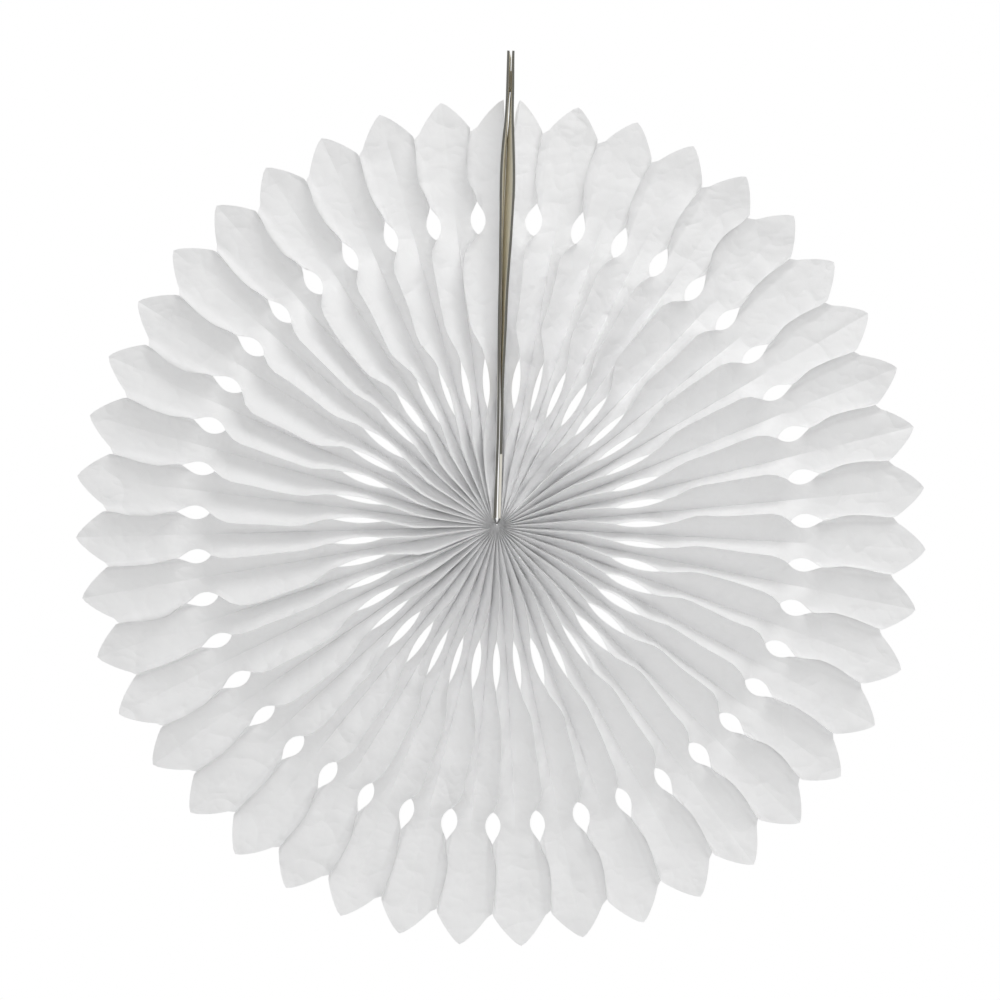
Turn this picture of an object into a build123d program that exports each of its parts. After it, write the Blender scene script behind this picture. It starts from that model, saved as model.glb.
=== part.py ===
from build123d import *
import os
from itertools import pairwise
from math import acos, asin, cos, degrees, radians, sin, sqrt, tan

# A paper fan rosette, hanging: one accordion-pleated sheet opened to a full
# circle, its two end panels glued to a pair of greyboard strips that are taped
# to each other along the seam. Front is -Y, up is +Z, and the origin is the
# middle of the hole that the rosette hangs by.

# The pleated sheet, as it is cut and folded
pleat_width = 17.5          # fold to fold, along the paper
tip_radius = 225.0          # gathered middle to a petal's tip
petal_fullness = 1.07       # a panel's paper to the width that it covers at the tips
petal_depth = 18.0          # a petal's tip to the notch beside it
petal_bulge = 1.3           # how far a petal's side bows out from straight
paper_thickness = 0.12
inner_radius = 3.4          # where the gathered pleats touch

# The two rings of leaf-shaped cut-outs, as they stand open
window_inset = 64.0         # a window's middle in from the petals' tips
window_length = 17.3
window_opening = 7.5
slit_radius = 74.0
slit_length = 26.5
slit_opening = 4.0
cut_half_width = 6.4        # half a leaf's width on the flat paper
leaf_snips = 4              # straight snips along a leaf's side

# How the opened pleats lie
seam_half_angle = 5.15      # seam to the first front fold, degrees
petal_slope = 10.0          # a petal's face to the rosette's plane, degrees
flank_reach = 1.8           # plan width of the steep margin beside a front fold
crowd_radius = 16.0         # inside it the folds crowd away from the strips most
crease_shares = (2 / 5, 8 / 15)  # where a twisted panel is creased, from middle to tips
rim_shares = (0.45, 0.75)   # where a petal's side is bowed, from notch to tip

# The greyboard strips
strip_thickness = 1.2
strip_rise = 21.8           # strip's top end above the petals' tips
strip_gap_back = 0.25       # half the gap between the strips' back edges
strip_gap_foot = 0.5        # half the gap between their front edges at the foot
strip_gap_front = 2.0       # half the gap between their front edges at the top
strip_bow = 2.2             # how much more the front edges stand apart where they bow
bow_drop = 43.0             # where the bow is widest, below the petals' tips
glue_line = 0.1

# What hangs and closes it
hole_radius = 2.0
hole_inset = 5.0            # hole's middle below the strips' top end
tape_length = 10.0
tape_width = 6.0
tape_drop = 8.2             # tape's top edge below the strips' top end

# Worked out from the above
strip_top = tip_radius + strip_rise
middle_height = hole_inset - strip_top
front = Plane(origin=(0, 0, middle_height), x_dir=(1, 0, 0), z_dir=(0, -1, 0))
back_depth = pleat_width / 2
notch_radius = tip_radius - petal_depth
window_radius = tip_radius - window_inset
bow_height = tip_radius - bow_drop
tip_step = 2 * degrees(asin(pleat_width / petal_fullness / (2 * tip_radius)))
petal_count = 2 + round((180 - seam_half_angle) / tip_step)  # each end petal is half on a strip
last_fold = 2 * petal_count
fold_step = (360 - 2 * seam_half_angle) / (last_fold - 4)
window_inner = window_radius - window_length / 2
window_outer = window_radius + window_length / 2
end_reach = strip_gap_back + strip_thickness + glue_line + paper_thickness
strip_clear = strip_gap_foot + strip_thickness + glue_line + 2 * paper_thickness
before_slit = slit_radius - slit_length / 2 - back_depth
crossings = [share * tip_radius for share in crease_shares]
inner_stations = [inner_radius, crowd_radius, before_slit, *crossings, window_inner]
outer_stations = [window_inner, window_outer, (window_outer + notch_radius) / 2]
strip_stations = inner_stations + outer_stations[1:] + [tip_radius]


def half_gap_front(height):
    """Half the gap between the strips' front edges, at a height over the middle."""
    if height >= tip_radius:
        return strip_gap_front
    if height >= bow_height:
        return strip_gap_front + strip_bow * (tip_radius - height) / (tip_radius - bow_height)
    widest = strip_gap_front + strip_bow - strip_gap_foot
    return strip_gap_foot + widest * (height / bow_height) ** 2


# The folded sheet: where its folds run
# Folds are numbered anticlockwise from the seam, as seen from the front. The
# even ones are front folds that end in a notch, the odd ones back folds that
# end in a petal's tip, and the first and the last are the sheet's own edges.
def fold_turn(fold, radius):
    """Angle of a fold from the seam in degrees. Near the middle the folds
    crowd away from the strips."""
    turn = seam_half_angle + (fold - 2) * fold_step
    spread = degrees(asin(min(1, strip_clear * (1 / radius - 1 / tip_radius))))
    return 180 + (turn - 180) * (180 - spread) / 180


def fold_place(fold, radius):
    """Place of a fold in the rosette's plane, at a radius from the middle."""
    turn = radians(fold_turn(fold, radius))
    return -radius * sin(turn), radius * cos(turn)


def pleat_chord(radius):
    """Width that a panel covers in the rosette's plane, at a radius."""
    step = (fold_turn(4, radius) - fold_turn(2, radius)) / 2
    return 2 * radius * sin(radians(step / 2))


def straight_profile(radius):
    """Where the pleats are straight-sided: their depth, and the thickness of
    the slanted paper from front to back, which grows until the pleats touch."""
    chord = pleat_chord(radius)
    depth = sqrt(pleat_width**2 - chord**2)
    t = paper_thickness
    if chord <= t:
        return depth, depth / 2
    root = depth**2 * chord**4 - (chord**2 - t**2) * (depth**2 - t**2) * chord**2
    return depth, depth - (depth * chord**2 - sqrt(max(0, root))) / (chord**2 - t**2)


def panel_profile(radius):
    """Profile across a panel, as (share of its width, depth) from the front
    fold over the edge of the steep margin to the back fold, for both skins."""
    chord = pleat_chord(radius)
    if radius <= window_inner:
        depth, lean = straight_profile(radius)
        share = min(flank_reach / chord, 0.5)
        skin = [(0, back_depth - depth), (share, back_depth - depth * (1 - share)), (1, back_depth)]
        return [(s, y - lean * s) for s, y in skin], [(s, y + lean * (1 - s)) for s, y in skin]
    slope = radians(petal_slope)
    flank = pleat_width - (chord - flank_reach) / cos(slope)
    margin = sqrt(flank**2 - flank_reach**2)
    ridge = back_depth - margin - (chord - flank_reach) * tan(slope)
    steep = acos(flank_reach / flank)
    mitre = paper_thickness / (1 + cos(steep - slope))
    back_share = (flank_reach - mitre * (sin(steep) + sin(slope))) / chord
    knee = (flank_reach / chord, ridge + margin)
    knee_back = (back_share, ridge + margin + mitre * (cos(steep) + cos(slope)))
    fronts = [(0, ridge), knee, (1, back_depth - paper_thickness / cos(slope))]
    backs = [(0, ridge + paper_thickness / cos(steep)), knee_back, (1, back_depth)]
    return fronts, backs


def panel_ends(folds, inner, outer):
    """Places of a panel's front fold and back fold, each at its own radius.
    Beside the seam the back fold lies along the strip's back edge."""
    valley = Vector(*fold_place(folds[1], outer))
    if folds[1] in (1, last_fold - 1):
        valley = Vector(-end_reach if folds[1] == 1 else end_reach, outer)
    return Vector(*fold_place(folds[0], inner)), valley


def panel_row(folds, radius, skin):
    """Points across a panel at a radius, from its front fold to its back fold,
    on the front skin (0) or the back skin (1)."""
    ridge, valley = panel_ends(folds, radius, radius)
    places = [(ridge + (valley - ridge) * share, y) for share, y in panel_profile(radius)[skin]]
    return [Vector(p.X, y, p.Y + middle_height) for p, y in places]


def rim_row(folds, skin):
    """Points along a petal's bowed side, from the notch to the tip."""
    notch, tip = panel_ends(folds, notch_radius, tip_radius)
    way = (tip - notch).normalized()
    bulge = Vector(-way.Y, way.X) * petal_bulge
    bulge *= 1 if bulge.dot(tip) > 0 else -1
    row = [panel_row(folds, notch_radius, skin)[0]]
    for share in (flank_reach / pleat_chord(notch_radius), *rim_shares):
        place = notch + (tip - notch) * share + bulge * 4 * share * (1 - share)
        across = share * tip_radius / place.length
        profile = panel_profile(place.length)[skin]
        (s0, y0), (s1, y1) = profile[:2] if across <= profile[1][0] else profile[1:]
        depth = y0 + (y1 - y0) * (across - s0) / (s1 - s0)
        row.append(Vector(place.X, depth, place.Y + middle_height))
    return row + [panel_row(folds, tip_radius, skin)[2]]


def strip_face(side, offset, height):
    """Front and back edge of a plane lying at an offset outside a strip's
    inner face, at a height over the middle. Side is 1 at left, -1 at right."""
    z = middle_height + height
    near = Vector(-side * (half_gap_front(height) + offset), -back_depth, z)
    far = Vector(-side * (strip_gap_back + offset), back_depth, z)
    return near, far


def facet(*corners):
    """One flat facet of a folded surface."""
    return Face(Wire.make_polygon(corners, close=True))


def quad(a, b, c, d):
    """Four corners in a ring, creased from the first to the third."""
    return [facet(a, b, c), facet(a, c, d)]


def band(near, far):
    """Facets between two rows of points."""
    faces = []
    for (a, b), (d, c) in zip(pairwise(near), pairwise(far)):
        faces += quad(a, b, c, d)
    return faces


def body(faces):
    """A solid closed by its facets."""
    return Solid(Shell(faces))


def board(side):
    """A greyboard strip, bent so that its front edge bows away from the seam."""
    faces = []
    heights = strip_stations + [strip_top]
    rows = [[strip_face(side, offset, h) for h in heights] for offset in (0, strip_thickness)]
    (near_in, far_in), (near_out, far_out) = [list(zip(*row)) for row in rows]
    faces += band(far_in, near_in) + band(far_out, near_out)
    faces += band(near_in, near_out) + band(far_in, far_out)
    for end in (0, -1):
        faces += quad(near_in[end], near_out[end], far_out[end], far_in[end])
    return body(faces)


def folded_sheet():
    """The sheet's panels from the seam round to the seam, with both its skins,
    its rims and its free edges."""
    faces = []
    for panel in range(1, last_fold - 1):
        folds = (panel, panel + 1) if panel % 2 == 0 else (panel + 1, panel)
        for skin in (0, 1):
            inner = [panel_row(folds, r, skin) for r in inner_stations]
            outer = [inner[-1]] + [panel_row(folds, r, skin) for r in outer_stations[1:]]
            ridge = [row[0] for row in inner]
            valley = [row[2] for row in inner]
            faces += band(ridge[:-1], valley[:-1])
            chain = [ridge[-1], ridge[-2], valley[-2], valley[-1]]
            faces += [facet(inner[-1][1], a, b) for a, b in pairwise(chain)]
            rows = [[row[k] for row in outer] for k in range(3)]
            faces += band(rows[0], rows[1]) + band(rows[1], rows[2])
            rim = rim_row(folds, skin)
            faces += quad(rows[0][-1], rows[1][-1], rim[1], rim[0])
            chain = [rows[1][-1], *rim[1:]]
            faces += [facet(rows[2][-1], a, b) for a, b in pairwise(chain)]
        foot = [panel_row(folds, inner_radius, skin) for skin in (0, 1)]
        faces += quad(foot[0][0], foot[0][2], foot[1][2], foot[1][0])
        faces += band(rim_row(folds, 0), rim_row(folds, 1))
    # the end panels, flat on the strips
    for side, folds in ((1, (2, 1)), (-1, (last_fold - 2, last_fold - 1))):
        inside, outside = [[panel_row(folds, r, skin)[2] for r in strip_stations] for skin in (0, 1)]
        glued = [strip_face(side, strip_thickness + glue_line, r)[0] for r in strip_stations]
        bare = [strip_face(side, end_reach - strip_gap_back, r)[0] for r in strip_stations]
        faces += band(outside, glued) + band(inside, bare) + band(glued, bare)
        for end in (0, -1):
            faces += quad(glued[end], bare[end], inside[end], outside[end])
    return body(faces)


def leaf(length, width):
    """A pointed leaf: two bowed sides that meet at its ends, each of a few
    straight snips."""
    with BuildSketch() as shape:
        with BuildLine():
            bow = ThreePointArc((0, -length / 2), (width / 2, 0), (0, length / 2), mode=Mode.PRIVATE)
            side = Polyline(*[bow @ (k / leaf_snips) for k in range(leaf_snips + 1)])
            mirror(side, about=Plane.YZ)
        make_face()
    return shape.sketch


# The sheet itself
sheet = folded_sheet()
leaf_window = leaf(window_length, window_opening)
leaf_slit = leaf(slit_length, slit_opening)

# what is cut away: a leaf of each ring across every front fold, and the same
# cuts at the sheet's two free edges, which lie flat on the strips
with BuildPart() as offcuts:
    with BuildSketch(front.offset(-pleat_width)):
        for fold in range(2, last_fold, 2):
            with Locations(Location(fold_place(fold, window_radius), fold_turn(fold, window_radius))):
                add(leaf_window)
            with Locations(Location(fold_place(fold, slit_radius), fold_turn(fold, slit_radius))):
                add(leaf_slit)
    extrude(amount=2 * pleat_width)
    for radius, length in ((window_radius, window_length), (slit_radius, slit_length)):
        reach = half_gap_front(radius) + strip_thickness + glue_line + 3 * paper_thickness
        with BuildSketch(Plane.YZ.offset(-reach)):
            with Locations((-back_depth, middle_height + radius)):
                add(leaf(length, 2 * cut_half_width))
        extrude(amount=2 * reach)
    reach = half_gap_front(notch_radius) + end_reach
    with BuildSketch(Plane.YZ.offset(-reach)):
        with BuildLine():
            notch = Vector(-back_depth, middle_height + notch_radius)
            tip = Vector(back_depth, middle_height + tip_radius)
            way = (tip - notch).normalized()
            ThreePointArc(notch, (notch + tip) / 2 + Vector(-way.Y, way.X) * petal_bulge, tip)
            Polyline(tip, (tip.X + 1, tip.Y), (tip.X + 1, 0), (notch.X - 1, 0), (notch.X - 1, notch.Y), notch)
        make_face()
    extrude(amount=2 * reach)

with BuildPart() as pleated_paper:
    add(sheet, clean=False)
    add(offcuts.part, mode=Mode.SUBTRACT, clean=False)

# The two strips
with BuildPart() as left_strip:
    add(board(1))
    with BuildSketch(Plane.YZ):
        Circle(hole_radius)
    extrude(amount=-pleat_width, mode=Mode.SUBTRACT)

with BuildPart() as right_strip:
    add(board(-1))
    with BuildSketch(Plane.YZ):
        Circle(hole_radius)
    extrude(amount=pleat_width, mode=Mode.SUBTRACT)

# The tape
# It fills the wedge between the strips near their back edges.
tape_top = strip_top - tape_drop
splay = (strip_gap_front - strip_gap_back) / pleat_width

with BuildPart() as adhesive_tape:
    with BuildSketch(Plane.XY.offset(middle_height + tape_top - tape_length)):
        with BuildLine():
            near = strip_gap_back + splay * tape_width
            Polyline(
                (-near, back_depth - tape_width),
                (near, back_depth - tape_width),
                (strip_gap_back, back_depth),
                (-strip_gap_back, back_depth),
                close=True,
            )
        make_face()
    extrude(amount=tape_length)

pleated_paper.part.label = "pleated_paper"
left_strip.part.label = "left_strip"
right_strip.part.label = "right_strip"
adhesive_tape.part.label = "adhesive_tape"

os.makedirs("parts", exist_ok=True)
export_step(pleated_paper.part, "parts/pleated_paper.step")
export_step(left_strip.part, "parts/left_strip.step")
export_step(right_strip.part, "parts/right_strip.step")
export_step(adhesive_tape.part, "parts/adhesive_tape.step")
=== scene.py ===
"""Looks, light and camera for a hanging rosette of pleated paper.

The folded sheet is rebuilt here as soft, slightly crumpled paper over the fold
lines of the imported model. The two greyboard strips are bent copies of the packed
ones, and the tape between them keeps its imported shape.
"""

import logging
import math
import random
from dataclasses import dataclass, field
from enum import Enum
from typing import Union

import bmesh
import bpy
from mathutils import Matrix, Vector, noise


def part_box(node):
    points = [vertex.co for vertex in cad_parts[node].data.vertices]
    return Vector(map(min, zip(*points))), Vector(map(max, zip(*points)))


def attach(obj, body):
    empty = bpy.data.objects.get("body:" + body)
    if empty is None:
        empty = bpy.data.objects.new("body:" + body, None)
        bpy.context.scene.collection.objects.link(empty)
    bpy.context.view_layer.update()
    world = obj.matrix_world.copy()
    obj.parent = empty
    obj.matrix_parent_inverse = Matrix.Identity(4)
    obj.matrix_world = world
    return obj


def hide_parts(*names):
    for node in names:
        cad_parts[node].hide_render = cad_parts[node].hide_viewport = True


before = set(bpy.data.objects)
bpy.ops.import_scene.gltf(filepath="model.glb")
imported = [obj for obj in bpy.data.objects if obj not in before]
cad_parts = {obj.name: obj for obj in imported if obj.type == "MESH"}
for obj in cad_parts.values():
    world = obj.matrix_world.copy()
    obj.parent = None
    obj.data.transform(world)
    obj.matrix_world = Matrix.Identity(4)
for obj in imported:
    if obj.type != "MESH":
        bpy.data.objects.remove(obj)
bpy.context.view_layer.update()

LOG = logging.getLogger("rosette")
MM = 0.001

# The gathered middle's height and the pleats' width, in millimetres.
MIDDLE_HEIGHT = -241.8
PLEAT_WIDTH = 17.5

# Light passes to and fro between the crowded pleats many times before it leaves.
LIGHT_BOUNCES = 20


class Slot(Enum):
    """The record's material slots."""

    PAPER = "paper"
    GREYBOARD = "greyboard"
    TAPE = "tape"


# Shader maths
Operand = Union["Value", float]


class Value:
    """A socket that carries a number, with sums written as Python expressions."""

    def __init__(self, shader: "Shader", socket: bpy.types.NodeSocket) -> None:
        """Wraps a socket.

        Args:
            shader: the material being built.
            socket: the output that carries the number.
        """
        self.shader = shader
        self.socket = socket

    def _math(self, operation: str, first: Operand, second: Operand) -> "Value":
        """Adds one Math node.

        Args:
            operation: the node's operation.
            first: its first value.
            second: its second value.

        Returns:
            The node's result.
        """
        sockets = {0: first, 1: second}
        node = self.shader.node("ShaderNodeMath", {"operation": operation}, sockets)
        return Value(self.shader, node.outputs[0])

    def __add__(self, other: Operand) -> "Value":
        """Sum."""
        return self._math("ADD", self, other)

    def __radd__(self, other: Operand) -> "Value":
        """Sum with a number in front."""
        return self._math("ADD", other, self)

    def __sub__(self, other: Operand) -> "Value":
        """Difference."""
        return self._math("SUBTRACT", self, other)

    def __rsub__(self, other: Operand) -> "Value":
        """Difference from a number."""
        return self._math("SUBTRACT", other, self)

    def __mul__(self, other: Operand) -> "Value":
        """Product."""
        return self._math("MULTIPLY", self, other)

    def __rmul__(self, other: Operand) -> "Value":
        """Product with a number in front."""
        return self._math("MULTIPLY", other, self)

    def below(self, other: Operand) -> "Value":
        """1 where the value is under another, and 0 elsewhere."""
        return self._math("LESS_THAN", self, other)

    def __abs__(self) -> "Value":
        """Value without its sign."""
        return self._math("ABSOLUTE", self, 0.0)


class Shader:
    """A material's node tree, with one Principled shader at its end."""

    def __init__(self, name: str) -> None:
        """Starts a material.

        Args:
            name: the material's name.
        """
        self.material = bpy.data.materials.new(name)
        self.material.use_nodes = True
        self.tree = self.material.node_tree
        self.surface = self.tree.nodes["Principled BSDF"]
        self.place = self.node("ShaderNodeTexCoord").outputs["Object"]

    def node(
        self, kind: str, settings: dict | None = None, sockets: dict | None = None
    ) -> bpy.types.Node:
        """Adds a node.

        Args:
            kind: the node's type.
            settings: properties set before the sockets, such as an operation.
            sockets: values or links, by socket name or number.

        Returns:
            The new node.
        """
        node = self.tree.nodes.new(kind)
        for key, value in (settings or {}).items():
            setattr(node, key, value)
        for key, value in (sockets or {}).items():
            self.feed(node.inputs[key], value)
        return node

    def feed(self, socket: bpy.types.NodeSocket, value: object) -> None:
        """Sets or links one socket.

        Args:
            socket: the input.
            value: a number, a colour, a Value or another node's output.
        """
        if isinstance(value, Value):
            value = value.socket
        if isinstance(value, bpy.types.NodeSocket):
            self.tree.links.new(value, socket)
        else:
            socket.default_value = value

    def finish(self, **values: object) -> None:
        """Sets or links the closing shader's own sockets.

        Args:
            **values: what goes to each, by the socket's name with underscores.
        """
        for name, value in values.items():
            self.feed(self.surface.inputs[name.replace("_", " ")], value)

    def grain(
        self, wave: float, detail: float = 2.0, roughness: float = 0.5, stretch: tuple = (1, 1, 1)
    ) -> Value:
        """Soft noise over the object's own coordinates.

        Args:
            wave: about the length of one blotch, in metres.
            detail: octaves of finer noise.
            roughness: how strong the finer octaves are.
            stretch: how much denser the noise is along each axis.

        Returns:
            The noise, about 0.5 on average.
        """
        turned = self.node("ShaderNodeMapping", {}, {"Vector": self.place, "Scale": stretch})
        sockets = {
            "Vector": turned.outputs[0],
            "Scale": 1 / wave,
            "Detail": detail,
            "Roughness": roughness,
        }
        made = self.node("ShaderNodeTexNoise", {"noise_dimensions": "3D"}, sockets)
        return Value(self, made.outputs[0])

    def tint(self, share: Value, low: object, high: object) -> bpy.types.NodeSocket:
        """Mixes two colours.

        Args:
            share: 0 gives the first colour and 1 the second.
            low: the first colour, as three numbers or a colour's socket.
            high: the second colour, likewise.

        Returns:
            The mixed colour's socket.
        """
        ends = [(*end, 1) if isinstance(end, tuple) else end for end in (low, high)]
        mixed = self.node("ShaderNodeMix", {"data_type": "RGBA"}, {0: share, 6: ends[0], 7: ends[1]})
        return mixed.outputs[2]

    def relief(self, height: Value, depth: float, strength: float) -> None:
        """Feeds the surface's normal from a height.

        Args:
            height: the relief, about 0 to 1.
            depth: the relief's real depth, in metres.
            strength: how much of it shows.
        """
        sockets = {"Height": height, "Distance": depth, "Strength": strength}
        self.finish(Normal=self.node("ShaderNodeBump", {}, sockets).outputs[0])


# Finishes
@dataclass(frozen=True)
class SoftPaper:
    """Thin matt white paper, faintly blotched and finely crumpled."""

    bright: tuple = (0.975, 0.975, 0.977)
    dull: tuple = (0.90, 0.90, 0.902)
    blotch_wave: float = 14 * MM
    light_reach: float = 0.2 * MM
    crumple_wave: float = 24 * MM
    dent_wave: float = 10.08 * MM
    fibre_wave: float = 1.6 * MM
    crumple_depth: float = 3.2 * MM

    def material(self) -> bpy.types.Material:
        """Builds the material."""
        shader = Shader("soft_paper")
        blotch = shader.grain(self.blotch_wave, 4.0, 0.62)
        shader.finish(
            Base_Color=shader.tint(blotch, self.dull, self.bright),
            Roughness=0.62 + 0.2 * blotch,
            Specular_IOR_Level=0.25,
            Subsurface_Weight=1.0,
            Subsurface_Radius=(1.0, 1.0, 1.0),
            Subsurface_Scale=self.light_reach,
        )
        crease = abs(shader.grain(self.crumple_wave, 1.0, 0.5) - 0.5)
        dent = abs(shader.grain(self.dent_wave, 1.0, 0.5, (1.0, 1.0, 1.25)) - 0.5)
        fibre = shader.grain(self.fibre_wave, 2.0, 0.6)
        shader.relief(crease * 1.7 + dent * 0.5 + fibre * 0.03, self.crumple_depth, 0.8)
        return shader.material


@dataclass(frozen=True)
class Greyboard:
    """Pressed grey-brown board with short fibres, with painted shade along its front cut edges.

    The right strip's lower end is pale to its edge, up to pale_top, without the painted shade.
    """

    light: tuple = (0.90, 0.875, 0.79)
    dark: tuple = (0.78, 0.755, 0.67)
    # Near-black painted shade for the front cut edges, where the narrow gap beside the paper lies in
    # shadow.
    edge_shade: tuple = (0.15, 0.147, 0.13)
    front: float = -8.65 * MM
    pale_top: float = -205.0 * MM
    fibre_wave: float = 1.4 * MM
    cloud_wave: float = 18 * MM
    fibre_depth: float = 0.12 * MM

    def material(self) -> bpy.types.Material:
        """Builds the material."""
        shader = Shader("greyboard")
        fibre = shader.grain(self.fibre_wave, 3.0, 0.6, (1, 1, 0.25))
        cloud = shader.grain(self.cloud_wave)
        share = fibre * 0.55 + cloud * 0.6 - 0.08
        face = shader.tint(share, self.dark, self.light)
        split = shader.node("ShaderNodeSeparateXYZ", {}, {0: shader.place})
        across, depth, up = (Value(shader, output) for output in split.outputs)
        # Painted shade: this mask picks the front cut edges, except the right strip's lower end, and
        # darkens them to near black.
        edge = depth.below(self.front) * (1 - up.below(self.pale_top) * (1 - across.below(0.0)))
        shader.finish(
            Base_Color=shader.tint(edge, face, self.edge_shade),
            Roughness=0.78 + 0.16 * fibre,
            Specular_IOR_Level=0.3,
        )
        shader.relief(fibre, self.fibre_depth, 0.6)
        return shader.material


@dataclass(frozen=True)
class MattTape:
    """Creamy double-sided tape."""

    light: tuple = (0.84, 0.83, 0.79)
    dark: tuple = (0.74, 0.73, 0.68)
    streak_wave: float = 2.5 * MM
    streak_depth: float = 0.08 * MM

    def material(self) -> bpy.types.Material:
        """Builds the material."""
        shader = Shader("matt_tape")
        streak = shader.grain(self.streak_wave, stretch=(1, 1, 0.4))
        shader.finish(
            Base_Color=shader.tint(streak, self.dark, self.light), Roughness=0.5 + 0.2 * streak
        )
        shader.relief(streak, self.streak_depth, 0.5)
        return shader.material


# The sheet's lines
def soft_step(low: float, high: float, value: float) -> float:
    """Smooth rise from 0 to 1.

    Args:
        low: where the rise starts.
        high: where it ends.
        value: the place asked for.

    Returns:
        The height of the rise there.
    """
    share = min(1.0, max(0.0, (value - low) / (high - low)))
    return share * share * (3 - 2 * share)


@dataclass(frozen=True)
class Leaf:
    """One ring of leaf-shaped cut-outs, in millimetres as they stand open.

    With an evenness of 1 they are all alike, and with 0 each follows its own
    fold's spread.
    """

    radius: float
    length: float
    opening: float
    evenness: float
    flat_half_width: float = 6.4

    @property
    def inner(self) -> float:
        """Radius of the leaf's inner point."""
        return self.radius - self.length / 2

    @property
    def outer(self) -> float:
        """Radius of the leaf's outer point."""
        return self.radius + self.length / 2

    def share_open(self, radius: float) -> float:
        """How wide the leaf is at a radius, as a share of its full width."""
        off = 2 * (radius - self.radius) / self.length
        return max(0.0, 1 - off * off)


@dataclass(frozen=True)
class StripEdge:
    """How far one long edge of a strip stands from the seam, by height."""

    heights: tuple
    gaps: tuple

    def gap(self, height: float) -> float:
        """Distance from the seam to the strip's inner face at this edge.

        Args:
            height: height over the middle, in millimetres.

        Returns:
            The distance in millimetres, smooth between the given heights.
        """
        pairs = list(zip(self.heights, self.gaps))
        for (low, first), (high, second) in zip(pairs, pairs[1:]):
            if height <= high:
                return first + (second - first) * soft_step(low, high, height)
        return self.gaps[-1]


@dataclass(frozen=True)
class Side:
    """One side of the seam: the strip's edges and the paper that lies on it.

    Heights are over the middle and distances from the seam, in millimetres.
    """

    node: str
    sign: int
    front: StripEdge
    back: StripEdge
    tip_stray: float
    skin: float = 1.4
    stray_start: float = 192.0
    stray_end: float = 225.0

    def paper_front(self, height: float) -> float:
        """Place across of the end panel's front edge, on the strip."""
        return self.sign * (self.front.gap(height) + self.skin)

    def paper_back(self, height: float) -> float:
        """Place across of the end panel's back fold, whose tip strays off the strip."""
        stray = self.tip_stray * soft_step(self.stray_start, self.stray_end, height)
        return self.sign * (self.back.gap(height) + self.skin + stray)


BACK_HEIGHTS = (0, 55, 85, 150, 205, 214, 221, 230)
LEFT = Side(
    node="left_strip",
    sign=-1,
    front=StripEdge((0, 45, 120, 185, 222, 250), (0.7, 0.25, 1.75, 2.85, 1.15, 1.2)),
    back=StripEdge(BACK_HEIGHTS, (0.35, 0.6, 0.9, 1.75, 1.2, 0.9, 0.75, 0.3)),
    tip_stray=1.6,
)
RIGHT = Side(
    node="right_strip",
    sign=1,
    front=StripEdge((0, 75, 110, 175, 222, 250), (0.6, 0.2, 0.7, 2.65, 0.75, 0.2)),
    back=StripEdge(BACK_HEIGHTS, (0.35, 0.0, -0.85, -1.7, -1.1, -0.3, -0.35, 0.05)),
    tip_stray=4.0,
)


@dataclass
class Wear:
    """How the handled paper lies off its true folds, drawn once for each fold."""

    folds: int
    loose_folds: tuple
    seed: int = 44
    loose_lean: float = 1.75
    ripple: float = 0.3
    ripple_wave: float = 24.0
    broad_wave: float = 21.0
    broad_depth: float = 0.55
    fine_wave: float = 9.0
    fine_depth: float = 0.28
    bow_wave: float = 60.0
    bow_depth: float = 0.7
    pitch: float = 19.0
    stride: float = 9.0
    bend_lead: float = 5.0
    lean: list = field(default_factory=list)
    slack: list = field(default_factory=list)
    bend: list = field(default_factory=list)
    spread: list = field(default_factory=list)

    def __post_init__(self) -> None:
        """Draws each fold's own character, always in the same order."""
        draw = random.Random(self.seed)
        each = range(self.folds)
        self.lean = [min(1.6, max(0.45, draw.gauss(1.0, 0.24))) for _ in each]
        for fold in self.loose_folds:
            self.lean[fold] = self.loose_lean
        self.slack = [draw.uniform(-0.7, 0.7) for _ in each]
        self.bend = [draw.uniform(-0.06, 0.26) for _ in each]
        self.spread = [draw.uniform(0.6, 1.15) for _ in each]

    def leaning(self, fold: int, radius: float) -> float:
        """How much a fold leans at a radius, with 1 on average."""
        ripple = noise.noise(Vector((radius / self.ripple_wave, fold * 3.7, 1.5)))
        return self.lean[fold] * (1 + self.ripple * ripple)

    def depth(
        self, ridge: int, valley: int, radius: float, share: float, outside: float, past: float
    ) -> float:
        """Soft waves, slack and bent tips.

        Args:
            ridge: number of the panel's front fold.
            valley: number of its back fold.
            radius: distance from the middle.
            share: 0 at the front fold and 1 at the back fold.
            outside: 0 inside the windows and 1 outside them.
            past: how far the place lies outside the notches' radius.

        Returns:
            The depth, in millimetres towards the back.
        """
        beside = min(valley - 1, self.folds - 2 - valley)
        free = soft_step(-0.5, 3, beside) * soft_step(4, 40, radius)
        stride = self.stride if valley > ridge else -self.stride
        flat = Vector((ridge * self.pitch + share * stride, radius, 0.0))
        waves = self.broad_depth * noise.noise(flat / self.broad_wave)
        waves += self.fine_depth * noise.noise(flat / self.fine_wave + Vector((5, 2, 7)))
        bow = self.bow_depth * noise.noise(Vector((ridge * 1.3, valley * 0.7, radius / self.bow_wave)))
        slack = self.slack[ridge] * (1 - share) + self.slack[valley] * share
        bend = max(0.0, past + self.bend_lead * share) * self.bend[valley]
        spans = waves * (0.5 + 0.7 * outside) + bow * math.sin(math.pi * share)
        return free * (spans + slack * (0.4 + outside) - bend)


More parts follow.
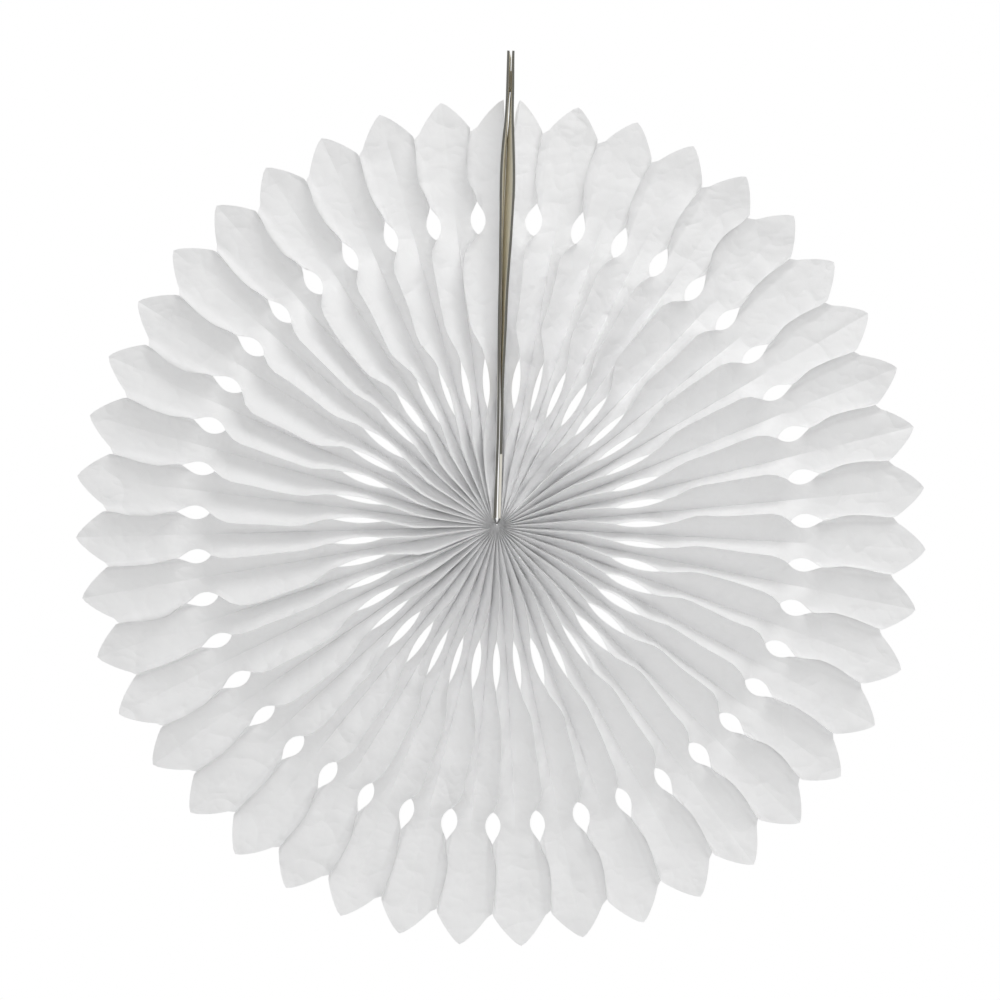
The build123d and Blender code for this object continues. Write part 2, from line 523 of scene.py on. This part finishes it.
# The sheet
@dataclass
class PleatedSheet:
    """The folded sheet, in millimetres from the gathered middle.

    Folds are numbered anticlockwise from the seam as seen from the front: even
    ones are front folds that end in a notch, odd ones back folds that end in a
    petal's tip, and the first and last are the free edges on the strips.
    """

    petal_count: int = 44
    paper_thickness: float = 0.14
    inner_end: float = 0.35
    notch_radius: float = 207.0
    tip_radius: float = 225.0
    petal_bulge: float = 1.5
    tip_blunting: float = 0.5
    seam_half_angle: float = 5.15
    slit: Leaf = Leaf(74.0, 26.5, 4.0, 0.0)
    window: Leaf = Leaf(161.0, 18.0, 8.3, 0.6)

    petal_slope: float = 8.0
    flank_reach: float = 1.8
    widest_flank: float = 0.16
    flattening_run: float = 12.0
    core_radius: float = 34.0
    core_flatness: float = 0.74
    core_sink: float = 1.5
    core_sink_radius: float = 3.5

    strip_clear: float = 2.04
    strip_foot: float = 3.4
    closed_radius: float = 2.4

    core_lean: float = 0.85
    core_lean_fade: float = 22.0
    spoke_lean: float = 4.3
    petal_lean: float = 2.9
    petal_lean_loss: float = 1.7
    loose_turns: tuple = (322, 10, 105)

    hang_turn: float = 0.4
    side_turn: float = 0.6
    seam_hold: float = 40.0
    rim_shift: float = 1.7
    rim_rise: float = 2.1

    columns: int = 8
    flank_columns: int = 2
    last_station: float = 195.0
    rim_rows: int = 7
    stations: list = field(default_factory=list)
    wear: Wear | None = None

    def __post_init__(self) -> None:
        """Lays out the stations along the folds, and the paper's wear."""
        slit, window = self.slit, self.window
        spans = [
            (self.inner_end, slit.inner, 12, 1.8),
            (slit.inner, slit.outer, 10, 1.0),
            (slit.outer, window.inner, 13, 1.0),
            (window.inner, window.outer, 9, 1.0),
            (window.outer, self.last_station, 8, 1.0),
        ]
        self.stations = [self.inner_end]
        for low, high, count, power in spans:
            self.stations += [low + (high - low) * (k / count) ** power for k in range(1, count + 1)]
        nearest = [round((turn - self.seam_half_angle) / self.fold_step) + 2 for turn in self.loose_turns]
        self.wear = Wear(self.last_fold + 1, tuple(fold - fold % 2 for fold in nearest))

    @property
    def last_fold(self) -> int:
        """Number of the sheet's last edge."""
        return 2 * self.petal_count

    @property
    def fold_step(self) -> float:
        """Degrees from fold to fold at the rim."""
        return (360 - 2 * self.seam_half_angle) / (self.last_fold - 4)

    def fold_turn(self, fold: int, radius: float) -> float:
        """Angle of a fold from the seam.

        Args:
            fold: the fold's number.
            radius: distance from the middle.

        Returns:
            The angle in degrees, anticlockwise.
        """
        turn = self.seam_half_angle + (fold - 2) * self.fold_step
        hung = self.hang_turn + self.side_turn * abs(math.sin(math.radians(turn)))
        turn += hung * soft_step(0, self.seam_hold, min(turn, 360 - turn))
        crowd = self.strip_clear * (1 / max(radius, self.strip_foot) - 1 / self.tip_radius)
        spread = math.degrees(math.asin(min(1.0, crowd)))
        return 180 + (turn - 180) * (180 - spread) / 180

    def fold_place(self, fold: int, radius: float) -> Vector:
        """Place of a fold in the rosette's plane, as (across, up)."""
        if fold in (1, self.last_fold - 1) and radius > self.strip_foot:
            side = LEFT if fold == 1 else RIGHT
            return Vector((side.paper_back(radius), radius))
        turn = math.radians(self.fold_turn(fold, radius))
        return Vector((-radius * math.sin(turn), radius * math.cos(turn)))

    def chord(self, radius: float) -> float:
        """Width that a panel covers in the rosette's plane."""
        middle = self.petal_count
        step = (self.fold_turn(middle + 1, radius) - self.fold_turn(middle - 1, radius)) / 2
        return 2 * radius * math.sin(math.radians(step / 2))

    def depth(self, radius: float, share: float) -> float:
        """Depth of the paper behind the rosette's middle plane.

        Args:
            radius: distance from the middle.
            share: 0 at the front fold and 1 at the back fold.

        Returns:
            The depth, in millimetres towards the back.
        """
        back = PLEAT_WIDTH / 2
        chord = self.chord(radius)
        tall = math.sqrt(PLEAT_WIDTH**2 - chord**2)
        closed = 1 - soft_step(0, self.core_radius, radius)
        sunk = self.core_sink * (1 - soft_step(0, self.core_sink_radius, radius))
        straight = back - tall * (1 - share * (1 - self.core_flatness * closed)) + sunk
        blend = soft_step(self.window.inner - self.flattening_run, self.window.outer, radius)
        if blend == 0:
            return straight
        slope = math.radians(self.petal_slope)
        flank = PLEAT_WIDTH - (chord - self.flank_reach) / math.cos(slope)
        margin = math.sqrt(max(0.0, flank**2 - self.flank_reach**2))
        knee = self.flank_reach / chord
        if share >= knee:
            flat = back - (1 - share) * chord * math.tan(slope)
        else:
            flat = back - (1 - knee) * chord * math.tan(slope) - margin * (1 - share / knee)
        return straight + (flat - straight) * blend

    def lean_at(self, fold: int, radius: float) -> float:
        """How far a front fold's crest leans anticlockwise, in millimetres."""
        slit, window = self.slit, self.window
        if radius < slit.inner:
            fade = 1 - soft_step(slit.inner - self.core_lean_fade, slit.inner, radius)
            reach = self.core_lean * self.chord(radius) * fade
        elif slit.outer < radius < window.inner:
            share = (radius - slit.outer) / (window.inner - slit.outer)
            reach = self.spoke_lean * soft_step(0, 0.3, share) * (1 - soft_step(0.88, 1, share))
        elif radius > window.outer:
            share = (radius - window.outer) / (self.notch_radius - window.outer)
            reach = self.petal_lean * soft_step(0, 0.4, share)
            reach -= self.petal_lean_loss * soft_step(0.55, 1, share)
        else:
            return 0.0
        return reach * self.wear.leaning(fold, radius)

    def rim(self, share: float) -> float:
        """Radius of the petals' bowed side, from the notch to the tip."""
        way = self.notch_radius + (self.tip_radius - self.notch_radius) * share
        blunt = self.tip_blunting * soft_step(0.9, 1.0, share)
        return way + self.petal_bulge * 4 * share * (1 - share) - blunt

    def column_share(self, column: int, knee: float) -> float:
        """Share of a panel's width at a column, counted from its front fold."""
        if column <= self.flank_columns:
            return knee * column / self.flank_columns
        rest = (column - self.flank_columns) / (self.columns - self.flank_columns)
        return knee + (1 - knee) * rest**1.05

    def flat_place(self, panel: int, column: int, row: int) -> tuple[float, float]:
        """Where a corner of the grid lies on its panel, past what the leaves cut off.

        Args:
            panel: the panel's number, 0 to the last.
            column: the column counted from the panel's front fold.
            row: the row, counted from the middle.

        Returns:
            The share of the way from the front fold to the back fold, and the
            radius.
        """
        base = self.stations[min(row, len(self.stations) - 1)]
        share = self.column_share(column, min(self.widest_flank, self.flank_reach / self.chord(base)))
        radius = base
        if row >= len(self.stations):
            way = (row - len(self.stations) + 1) / self.rim_rows
            radius = base + (self.rim(share) - base) * way
        for leaf in (self.slit, self.window):
            if leaf.inner < radius < leaf.outer:
                own = leaf.evenness + (1 - leaf.evenness) * self.wear.spread[panel + panel % 2]
                half = leaf.opening / 2 / self.chord(radius)
                if self.is_end(panel):
                    half = leaf.flat_half_width / PLEAT_WIDTH
                cut = half * own * leaf.share_open(radius)
                share = cut + (1 - cut) * share
        return share, radius

    def is_end(self, panel: int) -> bool:
        """Whether a panel is one of the two that lie on the strips."""
        return panel in (0, self.last_fold - 1)

    def place(self, panel: int, column: int, row: int) -> Vector:
        """Where a corner of the flat grid lies on the folded sheet.

        Args:
            panel: the panel's number, 0 to the last.
            column: the column counted from the panel's front fold.
            row: the row, counted from the middle.

        Returns:
            The place in metres.
        """
        share, radius = self.flat_place(panel, column, row)
        if self.is_end(panel):
            return self._end_place(LEFT if panel == 0 else RIGHT, share, radius)
        ridge, valley = (panel, panel + 1) if panel % 2 == 0 else (panel + 1, panel)
        near, far = self.fold_place(ridge, radius), self.fold_place(valley, radius)
        spot = near + (far - near) * share
        weight = 1 - share
        if radius > self.window.outer:
            weight = max(0.0, 1 - share * self.chord(radius) / self.flank_reach)
        turn = math.radians(self.fold_turn(ridge, radius))
        crest = self.lean_at(ridge, radius) * weight
        spot += Vector((-math.cos(turn), -math.sin(turn))) * crest
        outside = soft_step(self.window.inner, self.window.outer, radius)
        past = radius - self.notch_radius
        depth = self.depth(radius, share)
        depth += self.wear.depth(ridge, valley, radius, share, outside, past)
        low = math.sin(math.radians(self.fold_turn(valley, radius)) / 2)
        spot.x += self.rim_shift * soft_step(0, 90, radius) * soft_step(0.02, 0.45, low)
        spot.y += self.rim_rise * soft_step(60, 200, radius) * soft_step(0.7, 1.0, low)
        return Vector((spot.x, depth, spot.y + MIDDLE_HEIGHT)) * MM

    def _end_place(self, side: Side, share: float, radius: float) -> Vector:
        """Place on an end panel, which lies flat on its strip."""
        back = PLEAT_WIDTH / 2
        near = Vector((side.paper_front(radius), -back))
        far = Vector((side.paper_back(radius), back))
        spot = near + (far - near) * share
        spot.x *= soft_step(self.closed_radius, self.strip_foot, radius)
        return Vector((spot.x, spot.y, radius + MIDDLE_HEIGHT)) * MM

    def _grid_spot(self, vert: bmesh.types.BMVert) -> tuple[int, int]:
        """Column and row of a corner on the flat grid, which spans -1 to 1."""
        across, along = self.last_fold * self.columns, len(self.stations) + self.rim_rows - 1
        return round((vert.co.x + 1) / 2 * across), round((vert.co.y + 1) / 2 * along)

    def _corner(self, vert: bmesh.types.BMVert) -> tuple[int, int, int]:
        """Panel, column from the panel's front fold, and row of a corner.

        Where a leaf has parted a fold, the corner's own faces say on which panel
        it lies.
        """
        column, row = self._grid_spot(vert)
        middle = sum(face.calc_center_median().x for face in vert.link_faces) / len(vert.link_faces)
        panel, local = divmod(column, self.columns)
        at_end = column == self.last_fold * self.columns
        if local == 0 and (middle < vert.co.x or at_end) and column > 0:
            panel, local = panel - 1, self.columns
        return panel, local if panel % 2 == 0 else self.columns - local, row

    def _in_leaf(self, row: int) -> bool:
        """Whether the stretch above a row lies inside one of the leaves."""
        if row + 1 >= len(self.stations):
            return False
        middle = (self.stations[row] + self.stations[row + 1]) / 2
        return any(leaf.inner < middle < leaf.outer for leaf in (self.slit, self.window))

    def _part_folds(self, work: bmesh.types.BMesh) -> None:
        """Parts the front folds where the leaves cross them, and creases all folds.

        Args:
            work: the flat grid.
        """
        spots = {vert: self._grid_spot(vert) for vert in work.verts}
        end = self.last_fold * self.columns
        crease, opened = [], []
        for edge in work.edges:
            (column, row), (other_column, other_row) = (spots[vert] for vert in edge.verts)
            if column != other_column:
                continue
            if column % self.columns == 0:
                crease.append(edge)
            front_fold = column % (2 * self.columns) == 0 and 0 < column < end
            if front_fold and self._in_leaf(min(row, other_row)):
                opened.append(edge)
        bmesh.ops.split_edges(work, edges=opened)
        for edge in [edge for edge in work.edges if edge.is_boundary] + crease:
            edge.smooth = False

    def build(self, material: bpy.types.Material) -> bpy.types.Object:
        """Makes the folded sheet.

        Args:
            material: the paper.

        Returns:
            The finished object.
        """
        across, along = self.last_fold * self.columns, len(self.stations) + self.rim_rows - 1
        work = bmesh.new()
        bmesh.ops.create_grid(work, x_segments=across, y_segments=along, size=1)
        self._part_folds(work)
        placed = {vert: self.place(*self._corner(vert)) for vert in work.verts}
        for vert, place in placed.items():
            vert.co = place
        for face in work.faces:
            face.smooth = True
        bmesh.ops.recalc_face_normals(work, faces=work.faces)
        sheet = as_object("paper_sheet", work, material)
        wall = sheet.modifiers.new("paper_thickness", "SOLIDIFY")
        wall.thickness = self.paper_thickness * MM
        wall.offset = 0.0
        wall.use_even_offset = False
        return sheet


def as_object(name: str, work: bmesh.types.BMesh, material: bpy.types.Material) -> bpy.types.Object:
    """Turns a finished bmesh into an object of the scene.

    Args:
        name: the object's and the mesh's name.
        work: the shape, which is freed.
        material: its finish.

    Returns:
        The object, at the origin.
    """
    mesh = bpy.data.meshes.new(name)
    work.to_mesh(mesh)
    work.free()
    mesh.materials.append(material)
    made = bpy.data.objects.new(name, mesh)
    bpy.context.collection.objects.link(made)
    return made


# Strips and tape
@dataclass
class Strip:
    """One greyboard strip, bent from its packed form to the photographed bow.

    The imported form's front edge follows a bow between the given creases.
    Distances are from the seam and heights over the middle, in millimetres.
    """

    side: Side
    gap_back: float = 0.25
    packed_foot: float = 0.5
    packed_bow: float = 3.7
    packed_top: float = 2.0
    bow_height: float = 182.0
    tip_height: float = 225.0
    packed_creases: tuple = (3.4, 16, 52, 90, 120, 152.35, 169.65, 188.325, 225, 246.8)
    row_height: float = 6.0
    merge_reach: float = 0.01

    def packed_bow_at(self, height: float) -> float:
        """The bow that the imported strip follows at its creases."""
        widest = self.packed_foot + self.packed_bow
        if height >= self.bow_height:
            fall = min(1.0, (height - self.bow_height) / (self.tip_height - self.bow_height))
            return widest + (self.packed_top - widest) * fall
        return self.packed_foot + self.packed_bow * (height / self.bow_height) ** 2

    def packed_gap(self, height: float) -> float:
        """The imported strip's distance from the seam at its front edge."""
        for low, high in zip(self.packed_creases, self.packed_creases[1:]):
            if height <= high:
                share = (height - low) / (high - low)
                return self.packed_bow_at(low) * (1 - share) + self.packed_bow_at(high) * share
        return self.packed_top

    def build(self, board: bpy.types.Material) -> bpy.types.Object:
        """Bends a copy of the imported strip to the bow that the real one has.

        Args:
            board: the greyboard.

        Returns:
            The finished strip.
        """
        node = self.side.node
        work = bmesh.new()
        work.from_mesh(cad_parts[node].data)
        bmesh.ops.remove_doubles(work, verts=work.verts, dist=self.merge_reach * MM)
        low, high = (corner[2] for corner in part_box(node))
        rows = int((high - low) / (self.row_height * MM))
        for row in range(1, rows):
            cut = (0, 0, low + (high - low) * row / rows)
            geometry = work.verts[:] + work.edges[:] + work.faces[:]
            bmesh.ops.bisect_plane(work, geom=geometry, plane_co=cut, plane_no=(0, 0, 1))
        for vert in work.verts:
            height = vert.co.z / MM - MIDDLE_HEIGHT
            share = 0.5 - vert.co.y / MM / PLEAT_WIDTH
            fore = (self.side.front.gap(height) - self.packed_gap(height)) * share
            aft = (self.side.back.gap(height) - self.gap_back) * (1 - share)
            vert.co.x += self.side.sign * (fore + aft) * MM
        return as_object(f"{node}_board", work, board)


def dress_strips_and_tape(board: bpy.types.Material, tape: bpy.types.Material) -> None:
    """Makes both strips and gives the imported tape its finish.

    Args:
        board: the strips' greyboard.
        tape: the tape between them.
    """
    for side in (LEFT, RIGHT):
        piece = Strip(side).build(board)
        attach(piece, "root")
        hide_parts(side.node)
        LOG.info("%s: %d faces", piece.name, len(piece.data.polygons))
    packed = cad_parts["adhesive_tape"]
    packed.data.materials.clear()
    packed.data.materials.append(tape)


# Studio
@dataclass(frozen=True)
class Lamp:
    """One square soft lamp, in metres and watts."""

    name: str
    place: tuple
    size: float
    power: float


@dataclass
class Studio:
    """White surroundings, soft lamps, a pale floor and the camera."""

    middle: Vector = field(default_factory=lambda: Vector((0, 0, MIDDLE_HEIGHT * MM)))
    camera_place: tuple = (0.0012, -1.1, 0.0129)
    camera_roll: float = 1.8
    lens: float = 75.5
    sensor_width: float = 36.0
    floor_height: float = -0.66
    floor_half_side: float = 0.62
    fill: float = 0.455
    lamps: tuple = (
        Lamp("key", (0.45, -0.75, 1.0), 0.9, 8.5),
        Lamp("front", (-0.3, -1.9, 0.2), 1.4, 5.0),
        Lamp("back", (0.2, 1.7, 0.5), 1.4, 4.0),
    )

    def build(self) -> None:
        """Sets up everything round the rosette."""
        self.world()
        for lamp in self.lamps:
            self.hang(lamp)
        self.floor()
        self.camera()

    def world(self) -> None:
        """White to the camera, in reflections and through glass, and soft light elsewhere."""
        world = bpy.data.worlds.new("white_room")
        world.use_nodes = True
        nodes, links = world.node_tree.nodes, world.node_tree.links
        nodes.clear()
        out = nodes.new("ShaderNodeOutputWorld")
        path = nodes.new("ShaderNodeLightPath")
        mix = nodes.new("ShaderNodeMixShader")
        seen = path.outputs["Is Camera Ray"]
        for ray in ("Is Glossy Ray", "Is Transmission Ray"):
            either = nodes.new("ShaderNodeMath")
            either.operation = "MAXIMUM"
            links.new(seen, either.inputs[0])
            links.new(path.outputs[ray], either.inputs[1])
            seen = either.outputs[0]
        links.new(seen, mix.inputs[0])
        for socket, strength in ((1, self.fill), (2, 1.0)):
            light = nodes.new("ShaderNodeBackground")
            light.inputs["Color"].default_value = (1, 1, 1, 1)
            light.inputs["Strength"].default_value = strength
            links.new(light.outputs[0], mix.inputs[socket])
        links.new(mix.outputs[0], out.inputs["Surface"])
        bpy.context.scene.world = world

    def hang(self, lamp: Lamp) -> None:
        """Hangs a lamp that faces the rosette's middle."""
        data = bpy.data.lights.new(lamp.name, "AREA")
        data.size = lamp.size
        data.energy = lamp.power
        made = bpy.data.objects.new(lamp.name, data)
        made.location = lamp.place
        look = self.middle - Vector(lamp.place)
        made.rotation_euler = look.to_track_quat("-Z", "Y").to_euler()
        bpy.context.collection.objects.link(made)

    def floor(self) -> None:
        """A pale floor under the hanging rosette."""
        work = bmesh.new()
        bmesh.ops.create_grid(work, x_segments=1, y_segments=1, size=self.floor_half_side)
        bmesh.ops.translate(work, verts=work.verts, vec=(0, 0, self.floor_height))
        shader = Shader("pale_floor")
        shade = shader.grain(0.12)
        tint = shader.tint(shade, (0.94, 0.94, 0.94), (0.97, 0.97, 0.97))
        shader.finish(Base_Color=tint, Roughness=0.9)
        as_object("floor", work, shader.material)

    def camera(self) -> None:
        """The photograph's frontal view, rolled a little anticlockwise."""
        data = bpy.data.cameras.new("camera")
        data.lens = self.lens
        data.sensor_width = self.sensor_width
        camera = bpy.data.objects.new("camera", data)
        upright = Matrix.Rotation(math.radians(90), 4, "X")
        roll = Matrix.Rotation(math.radians(self.camera_roll), 4, "Z")
        place = self.middle + Vector(self.camera_place)
        camera.matrix_world = Matrix.Translation(place) @ upright @ roll
        bpy.context.collection.objects.link(camera)
        bpy.context.scene.camera = camera


def main() -> None:
    """Builds the paper, dresses the strips and lights the scene."""
    logging.basicConfig(level=logging.INFO, format="%(name)s: %(message)s")
    bpy.context.scene.view_settings.view_transform = "Standard"
    bpy.context.scene.cycles.max_bounces = LIGHT_BOUNCES
    bpy.context.scene.cycles.diffuse_bounces = LIGHT_BOUNCES
    sheet = PleatedSheet().build(SoftPaper().material())
    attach(sheet, "root")
    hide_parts("pleated_paper")
    LOG.info("paper sheet: %d faces before its thickness", len(sheet.data.polygons))
    dress_strips_and_tape(Greyboard().material(), MattTape().material())
    Studio().build()


if __name__ == "__main__":
    main()
